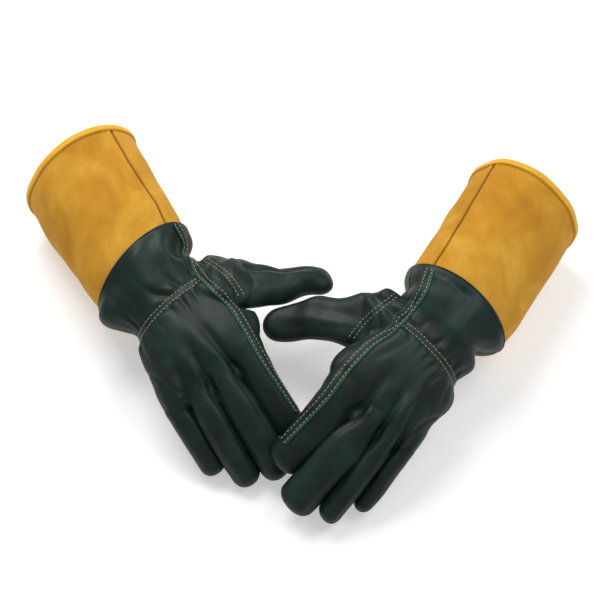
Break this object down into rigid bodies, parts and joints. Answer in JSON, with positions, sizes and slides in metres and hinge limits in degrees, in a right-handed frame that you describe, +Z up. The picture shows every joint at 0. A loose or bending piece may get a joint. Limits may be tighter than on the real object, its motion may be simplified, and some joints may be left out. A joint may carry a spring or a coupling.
{
  "type": "gauntlet gardening gloves",
  "caption": "Long-cuffed gardening gloves: smooth green leather hands with bending fingers, thumbs and wrists, and wide golden suede cuffs bound at the rim.",
  "frame": {"origin": "middle of the box around both gloves, on the floor they rest on", "axes": "+X from the right glove to the left glove, +Y from the fingertips to the cuffs, +Z up out of the backs of the hands"},
  "size_m": [0.5037, 0.3756, 0.1017],
  "materials": {
    "green_leather": "smooth semi-gloss dark green leather",
    "side_leather": "smooth dark green leather side strips",
    "suede": "matt golden suede",
    "binding_tape": "woven bright yellow tape",
    "thread": "cream sewing thread",
    "elastic": "dark woven elastic"
  },
  "bodies": {
    "right_cuff": {"right_cuff_binding": "binding_tape", "right_cuff_gusset": "suede", "right_cuff_main_panel": "suede", "right_cuff_stitch": "thread", "right_sleeve_back": "green_leather", "right_sleeve_palm": "green_leather"},
    "right_thumb": {"right_thumb_back": "green_leather", "right_thumb_palm": "green_leather"},
    "right_index": {"right_index_back": "green_leather", "right_index_fourchette": "side_leather", "right_index_palm": "green_leather", "right_index_stitch": "thread"},
    "right_middle": {"right_middle_back": "green_leather", "right_middle_fourchettes": "side_leather", "right_middle_palm": "green_leather"},
    "right_ring": {"right_ring_back": "green_leather", "right_ring_fourchettes": "side_leather", "right_ring_palm": "green_leather"},
    "right_little": {"right_little_back": "green_leather", "right_little_fourchette": "side_leather", "right_little_palm": "green_leather"},
    "right_hand": {"right_back_panel": "green_leather", "right_palm_panel": "green_leather", "right_root_back": "green_leather", "right_root_palm": "green_leather", "right_root_stitch": "thread", "right_strip_stitch": "thread", "right_wrist_elastic": "elastic", "right_wrist_stitch": "thread"},
    "left_cuff": {"left_cuff_binding": "binding_tape", "left_cuff_gusset": "suede", "left_cuff_main_panel": "suede", "left_cuff_stitch": "thread", "left_sleeve_back": "green_leather", "left_sleeve_palm": "green_leather"},
    "left_thumb": {"left_thumb_back": "green_leather", "left_thumb_palm": "green_leather"},
    "left_index": {"left_index_back": "green_leather", "left_index_fourchette": "side_leather", "left_index_palm": "green_leather", "left_index_stitch": "thread"},
    "left_middle": {"left_middle_back": "green_leather", "left_middle_fourchettes": "side_leather", "left_middle_palm": "green_leather"},
    "left_ring": {"left_ring_back": "green_leather", "left_ring_fourchettes": "side_leather", "left_ring_palm": "green_leather"},
    "left_little": {"left_little_back": "green_leather", "left_little_fourchette": "side_leather", "left_little_palm": "green_leather"},
    "left_hand": {"left_back_panel": "green_leather", "left_palm_panel": "green_leather", "left_root_back": "green_leather", "left_root_palm": "green_leather", "left_root_stitch": "thread", "left_strip_stitch": "thread", "left_wrist_elastic": "elastic", "left_wrist_stitch": "thread"}
  },
  "joints": [
    {"name": "gloves_apart", "type": "slide", "parent": "right_hand", "child": "left_hand", "axis": [-1, 0, 0], "range_m": [-0.2, 0]},
    {"name": "right_wrist_bend", "type": "hinge", "parent": "right_hand", "child": "right_cuff", "pos_m": [-0.12342, 0.00466, 0.05768], "axis": [-0.8507, -0.4667, -0.2419], "range_deg": [-20, 20]},
    {"name": "right_thumb_bend", "type": "hinge", "parent": "right_hand", "child": "right_thumb", "pos_m": [-0.05054, 0.0182, 0.06917], "axis": [-0.0968, 0.9887, 0.1143], "range_deg": [-15, 40]},
    {"name": "right_index_bend", "type": "hinge", "parent": "right_hand", "child": "right_index", "pos_m": [-0.04188, -0.05795, 0.0643], "axis": [0.8242, 0.5118, 0.2425], "range_deg": [0, 35]},
    {"name": "right_middle_bend", "type": "hinge", "parent": "right_hand", "child": "right_middle", "pos_m": [-0.0632, -0.07655, 0.05841], "axis": [0.8671, 0.4359, 0.2411], "range_deg": [0, 35]},
    {"name": "right_ring_bend", "type": "hinge", "parent": "right_hand", "child": "right_ring", "pos_m": [-0.08361, -0.08861, 0.05032], "axis": [0.8631, 0.4437, 0.2414], "range_deg": [-25, 35]},
    {"name": "right_little_bend", "type": "hinge", "parent": "right_hand", "child": "right_little", "pos_m": [-0.10311, -0.09633, 0.04055], "axis": [0.8507, 0.4667, 0.2419], "range_deg": [-25, 35]},
    {"name": "left_wrist_bend", "type": "hinge", "parent": "left_hand", "child": "left_cuff", "pos_m": [0.11757, -0.0375, 0.05917], "axis": [-0.8193, 0.461, 0.341], "range_deg": [-20, 20]},
    {"name": "left_thumb_bend", "type": "hinge", "parent": "left_hand", "child": "left_thumb", "pos_m": [0.04811, -0.02424, 0.07182], "axis": [-0.0687, -0.9709, -0.2293], "range_deg": [-15, 40]},
    {"name": "left_index_bend", "type": "hinge", "parent": "left_hand", "child": "left_index", "pos_m": [0.03324, -0.09746, 0.06513], "axis": [0.7177, -0.6024, -0.3494], "range_deg": [-25, 0]},
    {"name": "left_middle_bend", "type": "hinge", "parent": "left_hand", "child": "left_middle", "pos_m": [0.05304, -0.11595, 0.05679], "axis": [0.7453, -0.5686, -0.3483], "range_deg": [-25, 35]},
    {"name": "left_ring_bend", "type": "hinge", "parent": "left_hand", "child": "left_ring", "pos_m": [0.07347, -0.12838, 0.04603], "axis": [0.7961, -0.4978, -0.3441], "range_deg": [-25, 35]},
    {"name": "left_little_bend", "type": "hinge", "parent": "left_hand", "child": "left_little", "pos_m": [0.09246, -0.13602, 0.03468], "axis": [0.8009, -0.4905, -0.3435], "range_deg": [-25, 35]}
  ]
}
